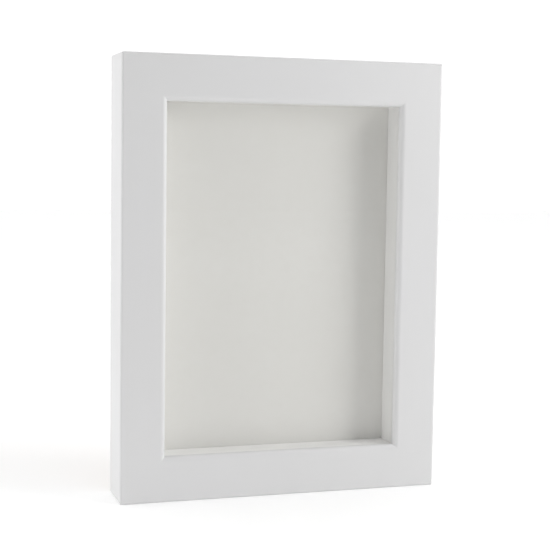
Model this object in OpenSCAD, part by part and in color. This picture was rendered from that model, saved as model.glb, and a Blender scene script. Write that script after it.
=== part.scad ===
// Deep shadow box display frame for an A4 sheet or small keepsakes.
// A mitred box moulding holds clear glazing behind a rounded lip. Four spacer strips keep the
// display card clear of the glazing, and a lift-out back is held by turn buttons in a recess,
// so the rear face lies flush against a wall.
// The front face looks along -Y, the wall side along +Y, and +Z is up.
// Origin: centre of the bottom face. All sizes are in millimetres.

/* [Frame] */
// Outer width, across both stiles
frame_w = 276; // [262:1:300]
// Outer height
frame_h = 364; // [350:1:400]
// Outer depth, from the front face to the wall
frame_d = 45; // [42:1:50]
// Width of the moulding's face, from the outer edge to the sight edge
face_w = 37.5; // [36.5:0.5:40]
// Radius of the round-over along the sight edge
sight_r = 4.5; // [2:0.5:5]
// Radius of the eased outer edges and corners
edge_r = 2; // [0.5:0.25:2.5]

/* [Rebate and recess] */
// Thickness of the front lip that the glazing sits behind
lip_d = 5.5; // [5:0.5:8]
// Width of the rebate behind the lip
rebate_w = 5.5; // [4:0.5:6]
// Width of the rear wall that meets the room's wall
rear_wall_w = 17; // [14:0.5:17]

/* [Contents] */
// Thickness of the clear glazing
glazing_t = 1; // [1:0.5:3]
// Depth of the spacer strips, which sets the display depth
spacer_d = 23; // [10:0.5:24]
// Thickness of the display card
card_t = 1.5; // [0.5:0.5:2]
// Width of the display card
card_w = 210; // [200:1:211]
// Height of the display card
card_h = 297; // [290:1:299]
// Thickness of the back board
board_t = 3; // [2:0.5:3]

/* [Turn buttons] */
// Distance from the pivot to the centre of the round tip
button_reach = 14; // [12:0.5:15]
// Radius of the end around the pivot
button_pivot_r = 5; // [4:0.25:5]
// Radius of the tip
button_tip_r = 3.5; // [2.5:0.25:4]
// Thickness of the stamped plate
button_t = 1.2; // [1:0.1:1.5]
// Offset of the side buttons from mid height
button_z = 80; // [45:1:110]
// Offset of the top and bottom buttons from mid width
button_x = 55; // [40:1:70]

/* [Hangers] */
// Overall length of a sawtooth hanger
hanger_l = 45; // [40:1:50]
// Overall width of a sawtooth hanger
hanger_w = 10; // [8:0.5:12]
// Number of notches along a hanger
notches = 7; // [5:2:9]

/* [Hidden] */

// Fits and gaps
slip = 0.3;             // clear gap between pieces that move apart
loose = 0.4;            // glazing and boards inside the rebate, each side
strip_gap = 0.2;        // spacer strip to the rebate's wall
set_back = 0.4;         // spacer faces behind the sight edge, so that their front ends stay hidden
pivot_gap = 0.08;       // radial running clearance of a button on its screw
driven_gap = 0.02;      // screws, nails and v nails in their own holes
past = 1;               // how far a cutting shape runs past a face

// Depths are measured from the front face
front_y = -frame_d / 2;
glazing_y = front_y + lip_d;
spacer_y = glazing_y + glazing_t;
card_y = spacer_y + spacer_d + slip;
board_y = card_y + card_t;
ledge_y = board_y + board_t + 0.2;
ledge_d = ledge_y - front_y;
button_y = ledge_y + slip;

// Across the moulding, measured inward from the outer edge
rebate_u = face_w - rebate_w;
ledge_mid_u = (rear_wall_w + rebate_u) / 2;
rebate_open_w = frame_w - 2 * rebate_u;
rebate_open_h = frame_h - 2 * rebate_u;
sight_w = frame_w - 2 * face_w;
mid_z = frame_h / 2;
strip_u = rebate_u + strip_gap;
strip_t = rebate_w - strip_gap - set_back;

// Screws, nails and v nails
screw_r = 1.5;
screw_in = 12;
screw_head_r = 3.2;
screw_head_h = 1.8;
cross_w = 0.7;
cross_l = 3.4;
nail_r = 0.8;
nail_in = 10;
nail_head_r = 2;
nail_head_h = 0.9;
v_leg = 5;
v_t = 0.6;
v_tall = 10;
v_sunk = 0.2;
v_rear_u = rear_wall_w / 2;
lip_up = 2.4;           // height of a button's finger lip
lip_t = 1;

// Sawtooth hangers
hanger_t = 0.8;
hanger_rise = 1.6;      // room behind the toothed strip for a nail head
tab_l = 8;
step_l = 2;
notch_w = (hanger_l - 2 * (tab_l + step_l)) / (notches + 0.5);
notch_h = 2.2;

white = [0.95, 0.95, 0.955];
off_white = [0.91, 0.905, 0.875];
mdf = [0.66, 0.52, 0.37];
steel = [0.72, 0.72, 0.74];
brass = [0.78, 0.66, 0.38];
clear = [0.85, 0.93, 0.93, 0.25];

$fn = 64;

// Waste outside a round of radius r, for a corner at the origin with material towards +x, +y
module corner_waste(r) {
    difference() {
        translate([-past, -past]) square(r + past);
        translate([r, r]) circle(r);
    }
}

// Section of the moulding: x runs inward from the outer edge, y back from the front face
module moulding_section() {
    difference() {
        square([face_w, frame_d]);
        translate([rebate_u, lip_d]) square([rebate_w + past, frame_d]);
        translate([rear_wall_w, ledge_d]) square([face_w, frame_d]);
        corner_waste(edge_r);
        translate([face_w, 0]) mirror([1, 0]) corner_waste(sight_r);
        translate([0, frame_d]) mirror([0, 1]) corner_waste(edge_r / 2);
    }
}

// One bar of the moulding with both ends mitred, its outer edge on z = 0 and centred on x = 0
module mitred_bar(length) {
    reach = face_w + past;
    difference() {
        intersection() {
            rotate([0, -90, 0]) linear_extrude(length, center = true) moulding_section();
            rotate([90, 0, 0]) linear_extrude(3 * frame_d, center = true)
                polygon([
                    [-length / 2, 0], [length / 2, 0],
                    [length / 2 - reach, reach], [reach - length / 2, reach]
                ]);
        }
        for (side = [-1, 1])
            scale_x(-side) translate([-length / 2, 0, 0])
                rotate([90, 0, 0]) linear_extrude(3 * frame_d, center = true) corner_waste(edge_r);
    }
}

// Mirrors across x = 0 when s is -1
module scale_x(s) {
    if (s < 0) mirror([1, 0, 0]) children();
    else children();
}

// Places something drawn for the bottom bar on another side of the frame
module on_side(side) {
    place = side == "bottom" ? [0, front_y, 0]
        : side == "top" ? [0, front_y, frame_h]
        : side == "left" ? [-frame_w / 2, front_y, mid_z]
        : [frame_w / 2, front_y, mid_z];
    turn = side == "bottom" ? 0 : side == "top" ? 180 : side == "left" ? 90 : -90;
    translate(place) rotate([0, turn, 0]) children();
}

// A round fastener seen from behind: shank forward into the wood, base of the head on y = 0
module driven_shank(r, deep) {
    rotate([90, 0, 0]) cylinder(r = r, h = deep);
}

// Pivots of the turn buttons: name, x, z, and the angle about +Y that the tip points to
// from straight down
BUTTONS = [
    ["turn_button_left_upper", ledge_mid_u - frame_w / 2, mid_z + button_z, 0],
    ["turn_button_left_lower", ledge_mid_u - frame_w / 2, mid_z - button_z, 0],
    ["turn_button_right_upper", frame_w / 2 - ledge_mid_u, mid_z + button_z, 0],
    ["turn_button_right_lower", frame_w / 2 - ledge_mid_u, mid_z - button_z, 0],
    ["turn_button_top_left", -button_x, frame_h - ledge_mid_u, 90],
    ["turn_button_top_right", button_x, frame_h - ledge_mid_u, -90],
    ["turn_button_bottom_left", -button_x, ledge_mid_u, 90],
    ["turn_button_bottom_right", button_x, ledge_mid_u, -90]
];

// Centres of the hangers: x, z, and the turn about Y that points the notches inward
PORTRAIT = [0, frame_h - ledge_mid_u, 0];
LANDSCAPE = [ledge_mid_u - frame_w / 2, mid_z, -90];
nail_x = (hanger_l - tab_l) / 2;

// Corners of the frame, as mirror signs from the bottom left
CORNERS = [[1, 1], [-1, 1], [1, -1], [-1, -1]];

// Places something drawn at the bottom left corner on a given corner
module on_corner(c) {
    translate([0, 0, mid_z]) mirror([c[0] < 0 ? 1 : 0, 0, 0]) mirror([0, 0, c[1] < 0 ? 1 : 0])
        translate([-frame_w / 2, 0, -mid_z]) children();
}

// Section of a bent v nail across the mitre, its corner u in from both outer edges
module v_section(u, gap) {
    translate([u - gap, u - gap]) square([v_leg + 2 * gap, v_t + 2 * gap]);
    translate([u - gap, u - gap]) square([v_t + 2 * gap, v_leg + 2 * gap]);
}

// One v nail driven in from the plane y = rear
module v_nail(u, rear, gap) {
    translate([0, rear - v_sunk, 0]) rotate([90, 0, 0]) linear_extrude(v_tall + gap) v_section(u, gap);
}

// The pair of v nails at a corner: one in the rear wall, one in the ledge
module v_pair(gap) {
    v_nail(v_rear_u, frame_d / 2, gap);
    v_nail(ledge_mid_u, ledge_y, gap);
}

// Everything cut out of the moulding for fasteners
module fastener_holes() {
    for (b = BUTTONS)
        translate([b[1], ledge_y + past, b[2]]) driven_shank(screw_r + driven_gap, screw_in + past);
    for (h = [PORTRAIT, LANDSCAPE], s = [-1, 1])
        translate([h[0], ledge_y + past, h[1]]) rotate([0, h[2], 0]) translate([s * nail_x, 0, 0])
            driven_shank(nail_r + driven_gap, nail_in + past);
    for (c = CORNERS)
        on_corner(c) {
            v_pair(driven_gap);
            translate([0, past, 0]) v_pair(driven_gap);
        }
}

module frame_bar(side) {
    color(white)
        difference() {
            on_side(side) mitred_bar(side == "top" || side == "bottom" ? frame_w : frame_h);
            fastener_holes();
        }
}

module corner_v_nails() {
    color(steel) for (c = CORNERS) on_corner(c) v_pair(0);
}

module glazing() {
    w = rebate_open_w - 2 * loose;
    h = rebate_open_h - 2 * loose;
    color(clear) translate([-w / 2, glazing_y, mid_z - h / 2]) cube([w, glazing_t, h]);
}

// Top and bottom strips fit between the side strips
module spacer_level(side) {
    l = sight_w + 2 * set_back;
    color(white) on_side(side)
        translate([-l / 2, spacer_y - front_y, strip_u])
            cube([l, spacer_d, strip_t]);
}

// Side strips run the full height of the rebate
module spacer_upright(side) {
    l = rebate_open_h - 2 * strip_gap;
    color(white) on_side(side)
        translate([-l / 2, spacer_y - front_y, strip_u])
            cube([l, spacer_d, strip_t]);
}

module display_card() {
    color(off_white) translate([-card_w / 2, card_y, mid_z - card_h / 2])
        cube([card_w, card_t, card_h]);
}

module back_board() {
    w = rebate_open_w - 2 * loose;
    h = rebate_open_h - 2 * loose;
    color(mdf) translate([-w / 2, board_y, mid_z - h / 2]) cube([w, board_t, h]);
}

// Plate outline: pivot at the origin, tip towards -y
module button_outline() {
    lean = asin((button_pivot_r - button_tip_r) / button_reach);
    px = button_pivot_r * cos(lean);
    py = -button_pivot_r * sin(lean);
    tx = button_tip_r * cos(lean);
    ty = -button_reach - button_tip_r * sin(lean);
    circle(button_pivot_r);
    translate([0, -button_reach]) circle(button_tip_r);
    polygon([[-px, py], [px, py], [tx, ty], [-tx, ty]]);
}

// Upturned finger lip around the tip
module lip_outline() {
    difference() {
        translate([0, -button_reach]) circle(button_tip_r);
        translate([0, -button_reach]) circle(button_tip_r - lip_t);
        translate([-button_tip_r, -button_reach]) square(2 * button_tip_r);
    }
}

// Turn button with the tip pointing down, its underside on y = 0
module button_plate() {
    mirror([0, 1, 0]) rotate([90, 0, 0]) difference() {
        union() {
            linear_extrude(button_t) button_outline();
            linear_extrude(button_t + lip_up) lip_outline();
        }
        translate([0, 0, -past]) cylinder(r = screw_r + pivot_gap, h = button_t + 2 * past);
    }
}

module turn_button(name) {
    for (b = BUTTONS)
        if (b[0] == name)
            color(steel) translate([b[1], button_y, b[2]]) rotate([0, b[3], 0]) button_plate();
}

// Round domed head of radius r and height h, its base on z = 0
module domed_head(r, h) {
    ball = (r * r + h * h) / (2 * h);
    rotate_extrude() intersection() {
        translate([0, h - ball]) circle(ball);
        square([r, h]);
    }
}

module turn_button_screws() {
    head_y = button_y + button_t + slip;
    color(steel) for (b = BUTTONS)
        translate([b[1], head_y, b[2]]) {
            driven_shank(screw_r, screw_in + head_y - ledge_y);
            rotate([-90, 0, 0]) difference() {
                domed_head(screw_head_r, screw_head_h);
                for (a = [0, 90])
                    rotate(a) translate([-cross_l / 2, -cross_w / 2, screw_head_h / 2])
                        cube([cross_l, cross_w, screw_head_h]);
            }
        }
}

// Bent strip seen from above: flat tabs at both ends, raised in the middle
module hanger_side() {
    near = hanger_l / 2 - tab_l;
    far = near - step_l;
    polygon([
        [-hanger_l / 2, 0], [-near, 0], [-far, hanger_rise], [far, hanger_rise],
        [near, 0], [hanger_l / 2, 0], [hanger_l / 2, hanger_t], [near, hanger_t],
        [far, hanger_rise + hanger_t], [-far, hanger_rise + hanger_t],
        [-near, hanger_t], [-hanger_l / 2, hanger_t]
    ]);
}

// Sawtooth hanger lying on y = 0 with its notches along the lower edge
module sawtooth_hanger() {
    difference() {
        linear_extrude(hanger_w, center = true) hanger_side();
        for (i = [0:notches - 1])
            translate([(i - (notches - 1) / 2) * notch_w, 0, -hanger_w / 2])
                rotate([90, 0, 0]) linear_extrude(4 * hanger_rise, center = true)
                    polygon([[-notch_w / 2, -past / 10], [notch_w / 2, -past / 10], [0, notch_h]]);
        for (s = [-1, 1])
            translate([s * nail_x, 2 * past, 0])
                driven_shank(nail_r + driven_gap, 4 * past);
    }
}

module hanger(h) {
    color(brass) translate([h[0], ledge_y, h[1]]) rotate([0, h[2], 0]) sawtooth_hanger();
}

module hanger_nails() {
    color(brass) for (h = [PORTRAIT, LANDSCAPE], s = [-1, 1])
        translate([h[0], ledge_y + hanger_t, h[1]]) rotate([0, h[2], 0])
            translate([s * nail_x, 0, 0]) {
                driven_shank(nail_r, nail_in + hanger_t);
                rotate([-90, 0, 0]) domed_head(nail_head_r, nail_head_h);
            }
}

frame_bar("top");  // top_rail
frame_bar("bottom");  // bottom_rail
frame_bar("left");  // left_stile
frame_bar("right");  // right_stile
corner_v_nails();
glazing();
spacer_level("top");  // spacer_top
spacer_level("bottom");  // spacer_bottom
spacer_upright("left");  // spacer_left
spacer_upright("right");  // spacer_right
display_card();
back_board();
turn_button("turn_button_left_upper");  // turn_button_left_upper
turn_button("turn_button_left_lower");  // turn_button_left_lower
turn_button("turn_button_right_upper");  // turn_button_right_upper
turn_button("turn_button_right_lower");  // turn_button_right_lower
turn_button("turn_button_top_left");  // turn_button_top_left
turn_button("turn_button_top_right");  // turn_button_top_right
turn_button("turn_button_bottom_left");  // turn_button_bottom_left
turn_button("turn_button_bottom_right");  // turn_button_bottom_right
turn_button_screws();
hanger(PORTRAIT);  // portrait_hanger
hanger(LANDSCAPE);  // landscape_hanger
hanger_nails();
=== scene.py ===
"""Deep white shadow box, standing upright on a pale floor. All lengths are in metres, in the CAD frame."""

import math

import bpy
from mathutils import Matrix, Vector


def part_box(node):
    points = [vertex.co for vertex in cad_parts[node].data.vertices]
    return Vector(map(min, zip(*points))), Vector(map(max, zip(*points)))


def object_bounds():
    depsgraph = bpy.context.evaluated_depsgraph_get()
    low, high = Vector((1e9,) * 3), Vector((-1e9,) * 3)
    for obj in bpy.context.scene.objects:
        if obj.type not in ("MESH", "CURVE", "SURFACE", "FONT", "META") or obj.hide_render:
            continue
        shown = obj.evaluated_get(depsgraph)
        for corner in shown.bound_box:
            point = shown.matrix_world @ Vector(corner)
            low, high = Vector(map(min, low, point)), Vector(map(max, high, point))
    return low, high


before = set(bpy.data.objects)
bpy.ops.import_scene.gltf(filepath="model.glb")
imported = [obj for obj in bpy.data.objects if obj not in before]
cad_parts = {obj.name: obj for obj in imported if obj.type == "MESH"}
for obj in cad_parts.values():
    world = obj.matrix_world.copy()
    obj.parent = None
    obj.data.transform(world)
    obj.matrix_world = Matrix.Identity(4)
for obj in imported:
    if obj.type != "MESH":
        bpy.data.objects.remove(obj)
cad_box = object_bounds()

MM = 0.001

# ---------------------------------------------------------------- sizes and names from the frame

LOW, HIGH = cad_box
HALF_W = HIGH.x
FRONT_Y = LOW.y
REAR_Y = HIGH.y
MID_Z = HIGH.z / 2
LEDGE_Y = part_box("portrait_hanger")[0].y  # the hangers are nailed flat on the ledge
RECESS_WALL = 17 * MM                     # width of the rear rim around the hardware recess

BUTTON_NODES = sorted(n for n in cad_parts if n.startswith("turn_button_") and n != "turn_button_screws")

# ---------------------------------------------------------------- camera

LENS = 85.1
YAW = math.radians(17.60)  # how far the camera stands to the object's left
PITCH = math.radians(5.00)
ROLL = math.radians(0.84)
DISTANCE = 1.075
AIM = Vector((-0.0091, FRONT_Y, 0.1857))


def make_camera():
    forward = Vector((math.sin(YAW) * math.cos(PITCH), math.cos(YAW) * math.cos(PITCH), -math.sin(PITCH)))
    level = Vector((math.cos(YAW), -math.sin(YAW), 0))
    upright = level.cross(forward)
    right = level * math.cos(ROLL) + upright * math.sin(ROLL)
    up = upright * math.cos(ROLL) - level * math.sin(ROLL)
    turn = Matrix((right, up, -forward)).transposed()
    data = bpy.data.cameras.new("camera")
    data.lens = LENS
    data.clip_start = 0.01
    data.clip_end = 50
    camera = bpy.data.objects.new("camera", data)
    camera.matrix_world = Matrix.Translation(AIM - forward * DISTANCE) @ turn.to_4x4()
    bpy.context.scene.collection.objects.link(camera)
    bpy.context.scene.camera = camera


# ---------------------------------------------------------------- node helpers


class Graph:
    """A material's node tree, with one short call per node."""

    def __init__(self, name):
        self.material = bpy.data.materials.new(name)
        self.material.use_nodes = True
        self.tree = self.material.node_tree
        self.tree.nodes.clear()
        self.output = self.tree.nodes.new("ShaderNodeOutputMaterial")
        self.place = self.node("ShaderNodeTexCoord").outputs["Object"]

    def node(self, kind, **settings):
        made = self.tree.nodes.new(kind)
        for key, value in settings.items():
            setattr(made, key, value)
        return made

    def put(self, value, socket):
        if isinstance(value, bpy.types.NodeSocket):
            self.tree.links.new(value, socket)
        else:
            socket.default_value = value

    def math(self, operation, a, b=0.0, clamp=False):
        made = self.node("ShaderNodeMath", operation=operation, use_clamp=clamp)
        self.put(a, made.inputs[0])
        self.put(b, made.inputs[1])
        return made.outputs[0]

    def xyz(self):
        made = self.node("ShaderNodeSeparateXYZ")
        self.put(self.place, made.inputs[0])
        return made.outputs

    def stretched(self, scale, turn=(0, 0, 0)):
        made = self.node("ShaderNodeMapping")
        self.put(self.place, made.inputs["Vector"])
        made.inputs["Scale"].default_value = scale
        made.inputs["Rotation"].default_value = turn
        return made.outputs[0]

    def noise(self, scale, detail=4.0, roughness=0.5, vector=None):
        """Noise with its features about 1 / scale metres apart."""
        made = self.node("ShaderNodeTexNoise")
        self.put(vector or self.place, made.inputs["Vector"])
        made.inputs["Scale"].default_value = scale
        made.inputs["Detail"].default_value = detail
        made.inputs["Roughness"].default_value = roughness
        return made.outputs["Fac"]

    def strands(self, scale, turn=(0, 0, 0), detail=4.0, roughness=0.65):
        """Noise drawn out along the axis with the smallest scale, then leant over by turn."""
        return self.noise(1, detail, roughness, self.stretched(scale, turn))

    def cells(self, scale):
        made = self.node("ShaderNodeTexVoronoi")
        self.put(self.place, made.inputs["Vector"])
        made.inputs["Scale"].default_value = scale
        return made.outputs["Distance"]

    def ramp(self, value, low, high, to_low=0.0, to_high=1.0):
        made = self.node("ShaderNodeMapRange", interpolation_type="SMOOTHSTEP")
        self.put(value, made.inputs["Value"])
        made.inputs["From Min"].default_value = low
        made.inputs["From Max"].default_value = high
        made.inputs["To Min"].default_value = to_low
        made.inputs["To Max"].default_value = to_high
        return made.outputs[0]

    def blend(self, share, a, b, kind="RGBA"):
        made = self.node("ShaderNodeMix", data_type=kind)
        self.put(share, made.inputs["Factor"])
        self.put(a, made.inputs["A"])
        self.put(b, made.inputs["B"])
        return made.outputs["Result"]

    def bump(self, height, distance, strength, under=None):
        made = self.node("ShaderNodeBump")
        self.put(height, made.inputs["Height"])
        made.inputs["Distance"].default_value = distance
        made.inputs["Strength"].default_value = strength
        if under is not None:
            self.put(under, made.inputs["Normal"])
        return made.outputs[0]

    def surface(self, colour, roughness, normal=None, metallic=0.0, ior=1.5):
        self.shader = self.node("ShaderNodeBsdfPrincipled")
        self.put(colour, self.shader.inputs["Base Color"])
        self.put(roughness, self.shader.inputs["Roughness"])
        self.shader.inputs["Metallic"].default_value = metallic
        self.shader.inputs["IOR"].default_value = ior
        if normal is not None:
            self.put(normal, self.shader.inputs["Normal"])
        self.put(self.shader.outputs[0], self.output.inputs["Surface"])
        return self.material


def grey(value, tint=(0, 0, 0)):
    return (value + tint[0], value + tint[1], value + tint[2], 1)


# ---------------------------------------------------------------- painted moulding

PAINT = (0.726, 0.725, 0.729, 1)
PAINT_THIN = (0.708, 0.706, 0.702, 1)
MDF_LIGHT = (0.430, 0.290, 0.165, 1)
MDF_DARK = (0.270, 0.165, 0.085, 1)
MDF_FIBRE = (0.540, 0.430, 0.300, 1)
JOINT_DARK = (0.120, 0.080, 0.050, 1)

PAINT_FULL = 3.2 * MM    # how far in from the outer edge the paint still covers the rear face
PAINT_GONE = 3.9 * MM    # and where the board is bare
PAINT_WAVER = 1.6 * MM   # slow wander of that edge
PAINT_RAGGED = 0.9 * MM  # and its fine raggedness
LINE_CORE = 0.10 * MM    # half width of the dark core of a mitre line
LINE_EDGE = 0.35 * MM    # and of its soft edge
GRAIN_ACROSS = 420       # drawn grain per metre across the moulding
GRAIN_ALONG = 14         # and along it

# Where paint turns to bare board just short of a face: the distances at which it starts and is complete
REAR_START, REAR_DONE = 0.9 * MM, 0.3 * MM
LEDGE_START, LEDGE_DONE = 0.6 * MM, 0.2 * MM
RIM_START, RIM_DONE = 0.5 * MM, 0.2 * MM


def paint_coat(g, along):
    """Colour, roughness and normal of sprayed satin paint over fibreboard, drawn along one axis."""
    cloud = g.noise(9, 3)
    drift = g.ramp(cloud, 0.35, 0.7)
    draw = [GRAIN_ACROSS] * 3
    draw["xyz".index(along)] = GRAIN_ALONG
    streak = g.strands(draw, detail=3, roughness=0.55)
    peel = g.noise(720, 2)
    fleck = g.ramp(g.cells(260), 0.0, 0.10, 1.0, 0.0)
    colour = g.blend(g.math("MULTIPLY", drift, 0.35), PAINT, PAINT_THIN)
    colour = g.blend(g.math("MULTIPLY", g.ramp(streak, 0.45, 0.75), 0.12), colour, PAINT_THIN)
    roughness = g.math("ADD", g.ramp(cloud, 0.3, 0.7, 0.36, 0.46), g.math("MULTIPLY", streak, 0.08))
    normal = g.bump(peel, 0.018 * MM, 0.6)
    normal = g.bump(streak, 0.03 * MM, 0.5, normal)
    normal = g.bump(fleck, 0.010 * MM, 0.35, normal)
    return colour, roughness, normal


def fibreboard(g):
    """Colour and normal of raw fibreboard: soft mottling with short pale and dark fibres."""
    mottle = g.noise(38, 4, 0.55)
    fibre = g.strands((2300, 2300, 760), (0, math.radians(35), 0))
    crossing = g.strands((700, 2300, 2300), (0, math.radians(-20), 0))
    speck = g.noise(2100, 2, 0.6)
    colour = g.blend(g.ramp(mottle, 0.25, 0.75, 0.0, 0.6), MDF_LIGHT, MDF_DARK)
    colour = g.blend(g.ramp(fibre, 0.5, 0.72, 0.0, 0.45), colour, MDF_FIBRE)
    colour = g.blend(g.ramp(crossing, 0.55, 0.75, 0.0, 0.35), colour, MDF_DARK)
    colour = g.blend(g.ramp(speck, 0.58, 0.75, 0.0, 0.35), colour, MDF_DARK)
    return colour, g.bump(g.math("ADD", fibre, crossing), 0.06 * MM, 0.7)


def back_share(g):
    """1 on the moulding's unpainted back and 0 elsewhere, and the distance from the nearest mitre."""
    x, y, z = g.xyz()
    waver = g.math("MULTIPLY", g.math("SUBTRACT", g.noise(30, 2), 0.5), PAINT_WAVER)
    ragged = g.math("MULTIPLY", g.math("SUBTRACT", g.noise(900, 4, 0.65), 0.5), PAINT_RAGGED)
    wobble = g.math("ADD", waver, ragged)
    across = g.math("SUBTRACT", HALF_W, g.math("ABSOLUTE", x))
    upward = g.math("SUBTRACT", MID_Z, g.math("ABSOLUTE", g.math("SUBTRACT", z, MID_Z)))
    inward = g.math("MINIMUM", across, upward)
    rear_plane = g.ramp(y, REAR_Y - REAR_START, REAR_Y - REAR_DONE)
    past_paint = g.ramp(g.math("ADD", inward, wobble), PAINT_FULL, PAINT_GONE)
    rear_face = g.math("MULTIPLY", rear_plane, past_paint)
    behind_ledge = g.ramp(y, LEDGE_Y - LEDGE_START, LEDGE_Y - LEDGE_DONE)
    inside_rim = g.ramp(inward, RECESS_WALL - RIM_START, RECESS_WALL - RIM_DONE)
    recess = g.math("MULTIPLY", behind_ledge, inside_rim)
    seam = g.math("ABSOLUTE", g.math("SUBTRACT", across, upward))
    return g.math("MAXIMUM", rear_face, recess), seam


def moulding_material(name, along):
    """White satin paint on the show faces, raw fibreboard with a fine mitre line behind."""
    g = Graph(name)
    colour, roughness, normal = paint_coat(g, along)
    raw, raw_normal = fibreboard(g)
    bare, seam = back_share(g)
    raw = g.blend(g.ramp(seam, LINE_CORE, LINE_EDGE, 0.8, 0.0), raw, JOINT_DARK)
    colour = g.blend(bare, colour, raw)
    roughness = g.math("ADD", roughness, g.math("MULTIPLY", bare, 0.4), clamp=True)
    return g.surface(colour, roughness, g.blend(bare, normal, raw_normal, "VECTOR"))


# ---------------------------------------------------------------- strip, card, clear sheet and back

STRIP_FACE = grey(0.925, (0.004, 0, -0.010))
STRIP_SHADE = grey(0.910)
CARD_LIGHT = (0.806, 0.800, 0.773, 1)
CARD_DARK = (0.791, 0.784, 0.755, 1)
CARD_PULP = (0.774, 0.765, 0.733, 1)
CARD_FIBRE = (0.841, 0.835, 0.812, 1)
CLEAR_TINT = (0.998, 0.998, 0.996, 1)
CLEAR_IOR = 1.46
BOARD_LIGHT = (0.285, 0.162, 0.082, 1)
BOARD_DARK = (0.240, 0.133, 0.066, 1)
BOARD_FIBRE = (0.380, 0.240, 0.132, 1)
BOARD_CROSSING = (0.150, 0.080, 0.040, 1)
# colour of the painted shade laid into the mesh hollows
BOARD_HOLLOW_SHADE = (0.130, 0.070, 0.036, 1)
SCREEN_PITCH = 1.5 * MM  # spacing of the wire marks on the hardboard's screen side


def strip_material():
    """White faced spacer strip: a smoother, slightly warmer sheet with a faint paper tooth."""
    g = Graph("spacer_face")
    tooth = g.noise(1400, 3, 0.6)
    cloud = g.noise(22, 3)
    colour = g.blend(g.ramp(cloud, 0.35, 0.7, 0.0, 0.5), STRIP_FACE, STRIP_SHADE)
    return g.surface(colour, g.ramp(cloud, 0.3, 0.7, 0.46, 0.56), g.bump(tooth, 0.02 * MM, 0.5))


def card_material():
    """Off-white mount card: soft pulp mottling, short fibres and a felt tooth."""
    g = Graph("mount_card")
    pulp = g.noise(130, 5, 0.6)
    cloud = g.noise(7, 3)
    fibre = g.strands((520, 520, 1900), (0, math.radians(20), 0), roughness=0.7)
    crossing = g.strands((1900, 520, 520), (0, math.radians(-12), 0), roughness=0.7)
    colour = g.blend(g.ramp(cloud, 0.35, 0.7), CARD_LIGHT, CARD_DARK)
    colour = g.blend(g.ramp(pulp, 0.4, 0.75, 0.0, 0.45), colour, CARD_PULP)
    colour = g.blend(g.ramp(fibre, 0.62, 0.78, 0.0, 0.35), colour, CARD_FIBRE)
    return g.surface(colour, 0.82, g.bump(g.math("ADD", fibre, crossing), 0.05 * MM, 0.6), ior=1.4)


def glazing_material():
    """Clear polished sheet: what is behind it shows straight through, with a thin sheet's reflection."""
    g = Graph("clear_sheet")
    clear = g.node("ShaderNodeBsdfTransparent")
    clear.inputs["Color"].default_value = CLEAR_TINT
    shine = g.node("ShaderNodeBsdfGlossy")
    shine.inputs["Color"].default_value = (1, 1, 1, 1)
    smear = g.noise(18, 4, 0.6)
    g.put(g.ramp(smear, 0.5, 0.75, 0.02, 0.06), shine.inputs["Roughness"])
    inside = g.node("ShaderNodeNewGeometry").outputs["Backfacing"]
    ior = g.math("ADD", g.math("MULTIPLY", inside, 1 / CLEAR_IOR - CLEAR_IOR), CLEAR_IOR)
    share = g.node("ShaderNodeFresnel")
    g.put(ior, share.inputs["IOR"])
    mixed = g.node("ShaderNodeMixShader")
    g.put(share.outputs[0], mixed.inputs[0])
    g.put(clear.outputs[0], mixed.inputs[1])
    g.put(shine.outputs[0], mixed.inputs[2])
    g.put(mixed.outputs[0], g.output.inputs["Surface"])
    return g.material


def hardboard_material():
    """Brown hardboard with its screen side out, marked all over by the wire mesh it was pressed on, with
    painted shade darkening the mesh hollows.
    """
    g = Graph("hardboard_back")
    x, _, z = g.xyz()
    pitch = 2 * math.pi / SCREEN_PITCH
    warp = g.math("SINE", g.math("MULTIPLY", x, pitch))
    weft = g.math("SINE", g.math("MULTIPLY", z, pitch))
    mesh = g.ramp(g.math("MULTIPLY", warp, weft), -0.9, 0.9)
    fibre = g.strands((1500, 1500, 640), (0, math.radians(50), 0), detail=5)
    crossing = g.strands((640, 1500, 1500), (0, math.radians(15), 0), detail=5)
    mottle = g.noise(11)
    colour = g.blend(g.ramp(mottle, 0.3, 0.7), BOARD_LIGHT, BOARD_DARK)
    colour = g.blend(g.ramp(fibre, 0.5, 0.75, 0.0, 0.5), colour, BOARD_FIBRE)
    colour = g.blend(g.ramp(crossing, 0.52, 0.75, 0.0, 0.5), colour, BOARD_CROSSING)
    # painted shade: the mesh hollows are darkened in colour, on top of their bump relief
    colour = g.blend(g.math("MULTIPLY", mesh, 0.30), colour, BOARD_HOLLOW_SHADE)
    normal = g.bump(g.math("SUBTRACT", fibre, mesh), 0.16 * MM, 0.8)
    return g.surface(colour, g.ramp(mottle, 0.3, 0.7, 0.70, 0.84), normal, ior=1.45)


# ---------------------------------------------------------------- metals

ZINC = (0.60, 0.61, 0.63, 1)
ZINC_DULL = (0.44, 0.45, 0.46, 1)
BRASS = (0.78, 0.58, 0.27, 1)
BRASS_DULL = (0.56, 0.40, 0.18, 1)
STEEL = (0.42, 0.42, 0.43, 1)
STEEL_DULL = (0.26, 0.25, 0.25, 1)
ROLLED_IN_Y = (2400, 300, 2400)  # rolling marks per metre along x, y and z
ROLLED_IN_X = (300, 2400, 2400)


def metal_material(name, bright, dull, smooth, rough, grain):
    """Plated sheet metal: fine rolled grain, cloudy plating and small dull specks."""
    g = Graph(name)
    cloud = g.noise(160, 4, 0.6)
    rolled = g.strands(grain, detail=3, roughness=0.6)
    speck = g.ramp(g.noise(2600, 2), 0.62, 0.72)
    colour = g.blend(g.ramp(cloud, 0.35, 0.68), bright, dull)
    colour = g.blend(g.math("MULTIPLY", speck, 0.35), colour, dull)
    roughness = g.math("ADD", g.ramp(cloud, 0.3, 0.7, smooth, rough), g.math("MULTIPLY", speck, 0.15))
    return g.surface(colour, roughness, g.bump(rolled, 0.012 * MM, 0.6), metallic=1.0)


# ---------------------------------------------------------------- dressing the CAD nodes

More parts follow.
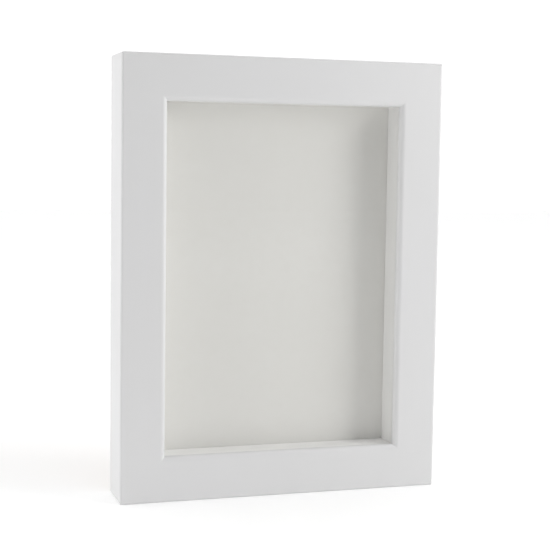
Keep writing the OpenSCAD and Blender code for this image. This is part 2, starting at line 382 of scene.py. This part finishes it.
STAMPED_EDGE = 0.15 * MM
SAWN_EDGE = 0.25 * MM
WELD_GAP = 0.002 * MM      # joins the CAD faces along their shared borders, so that edges can be eased
SHARP = math.radians(40)   # an edge that turns by more than this is eased


def dress(material, *names):
    for name in names:
        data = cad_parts[name].data
        data.materials.clear()
        data.materials.append(material)


def soften(width, *names):
    """Eases the sharp edges of small stamped or sawn pieces."""
    for name in names:
        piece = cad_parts[name]
        weld = piece.modifiers.new("joined_faces", "WELD")
        weld.merge_threshold = WELD_GAP
        bevel = piece.modifiers.new("eased_edges", "BEVEL")
        bevel.width = width
        bevel.segments = 2
        bevel.limit_method = "ANGLE"
        bevel.angle_limit = SHARP
        piece.modifiers.new("flat_faces_flat", "WEIGHTED_NORMAL")


def dress_nodes():
    dress(moulding_material("painted_moulding_level", "x"), "top_rail", "bottom_rail")
    dress(moulding_material("painted_moulding_upright", "z"), "left_stile", "right_stile")
    dress(strip_material(), "spacer_top", "spacer_bottom", "spacer_left", "spacer_right")
    dress(card_material(), "display_card")
    dress(glazing_material(), "glazing")
    dress(hardboard_material(), "back_board")
    zinc = metal_material("zinc_plate", ZINC, ZINC_DULL, 0.28, 0.42, ROLLED_IN_Y)
    brass = metal_material("brass_plate", BRASS, BRASS_DULL, 0.24, 0.38, ROLLED_IN_X)
    steel = metal_material("rolled_strip", STEEL, STEEL_DULL, 0.35, 0.5, ROLLED_IN_Y)
    dress(zinc, "turn_button_screws", *BUTTON_NODES)
    dress(brass, "portrait_hanger", "landscape_hanger", "hanger_nails")
    dress(steel, "corner_v_nails")
    soften(STAMPED_EDGE, "portrait_hanger", "landscape_hanger", *BUTTON_NODES)
    soften(SAWN_EDGE, "back_board", "display_card")


# ---------------------------------------------------------------- floor

FLOOR_SIZE = 12
FLOOR_GLOW = 0.20
FLOOR_LIGHT = grey(0.91)
FLOOR_DARK = grey(0.89)
FLOOR_FRONT_LIGHT = grey(0.60)
FLOOR_FRONT_DARK = grey(0.58)
FLOOR_FAR = grey(0.99)
FRONT_ENDS, NEAR_STARTS = -0.60, -0.22  # metres behind the middle of the box, so these are in front of it
NEAR_ENDS, FAR_STARTS = 0.6, 2.6


def floor_material():
    """Pale studio sheet with a faint glow: greyer well in front of the box, whiter far behind it."""
    g = Graph("studio_floor")
    _, depth, _ = g.xyz()
    mottle = g.ramp(g.noise(1.4, 2), 0.3, 0.7)
    near = g.blend(mottle, FLOOR_LIGHT, FLOOR_DARK)
    front = g.blend(mottle, FLOOR_FRONT_LIGHT, FLOOR_FRONT_DARK)
    colour = g.blend(g.ramp(depth, FRONT_ENDS, NEAR_STARTS), front, near)
    colour = g.blend(g.ramp(depth, NEAR_ENDS, FAR_STARTS), colour, FLOOR_FAR)
    g.surface(colour, 0.6)
    g.shader.inputs["Specular IOR Level"].default_value = 0.1
    g.shader.inputs["Emission Color"].default_value = (1, 1, 1, 1)
    g.shader.inputs["Emission Strength"].default_value = FLOOR_GLOW
    return g.material


def make_floor():
    bpy.ops.mesh.primitive_plane_add(size=FLOOR_SIZE, location=(0, 0, 0))
    floor = bpy.context.object
    floor.name = "floor"
    floor.data.materials.append(floor_material())


# ---------------------------------------------------------------- light

SKY_WHITE = 1.10    # behind the box and overhead
SKY_HORIZON = 0.67  # ahead, about as bright as the front of the floor, so that the glazing shows no line
SKY_AHEAD = 0.02    # ahead, above the horizon
SKY_RIGHT = 0.30    # far to the right, so that the lit right side keeps its tone


def softbox(name, azimuth, elevation, distance, width, height, power):
    """A rectangular light aimed at the box. Azimuth is from straight in front, positive to the right."""
    a, e = math.radians(azimuth), math.radians(elevation)
    back = Vector((math.sin(a) * math.cos(e), -math.cos(a) * math.cos(e), math.sin(e)))
    data = bpy.data.lights.new(name, "AREA")
    data.shape = "RECTANGLE"
    data.size = width
    data.size_y = height
    data.energy = power
    lamp = bpy.data.objects.new(name, data)
    lamp.location = Vector((0, 0, MID_Z)) + back * distance
    lamp.rotation_euler = back.to_track_quat("Z", "Y").to_euler()
    bpy.context.scene.collection.objects.link(lamp)


def make_sky():
    """A white sweep behind the box and overhead, and a dim room ahead above a pale horizon.

    A direction's x is 1 to the right, its y is 1 straight behind the box, and its z is 1 overhead.
    """
    world = bpy.data.worlds.new("studio")
    bpy.context.scene.world = world
    world.use_nodes = True
    tree = world.node_tree
    direction = tree.nodes.new("ShaderNodeTexCoord").outputs["Generated"]
    split = tree.nodes.new("ShaderNodeSeparateXYZ")
    tree.links.new(direction, split.inputs[0])
    x, y, z = split.outputs

    def fade(value, start, end, low, high):
        made = tree.nodes.new("ShaderNodeMapRange")
        made.interpolation_type = "SMOOTHSTEP"
        for name, given in (("From Min", start), ("From Max", end), ("To Min", low), ("To Max", high)):
            if isinstance(given, bpy.types.NodeSocket):
                tree.links.new(given, made.inputs[name])
            else:
                made.inputs[name].default_value = given
        tree.links.new(value, made.inputs["Value"])
        return made.outputs[0]

    horizon_top = fade(x, -0.40, 0.30, 0.08, 0.28)
    ahead = fade(z, 0.02, horizon_top, SKY_HORIZON, SKY_AHEAD)
    ahead = fade(z, 0.68, 0.84, ahead, SKY_WHITE)
    behind = fade(x, 0.50, 0.85, SKY_WHITE, SKY_RIGHT)
    sky = tree.nodes["Background"]
    sky.inputs["Color"].default_value = (1, 1, 1, 1)
    tree.links.new(fade(y, -0.30, 0.05, ahead, behind), sky.inputs["Strength"])


def make_light():
    """The sweep, a key lamp and a small near lamp to the right, and two weaker lamps to the left."""
    make_sky()
    softbox("key_right", azimuth=54, elevation=18, distance=4.0, width=2.0, height=1.6, power=59)
    softbox("near_right", azimuth=62, elevation=28, distance=0.7, width=0.3, height=0.4, power=1.0)
    softbox("near_left", azimuth=-35, elevation=45, distance=1.0, width=0.5, height=0.5, power=0.20)
    softbox("side_left", azimuth=-80, elevation=8, distance=4.0, width=1.6, height=1.6, power=37)


# ---------------------------------------------------------------- build

make_camera()
dress_nodes()
make_floor()
make_light()
bpy.context.scene.view_settings.view_transform = "Standard"
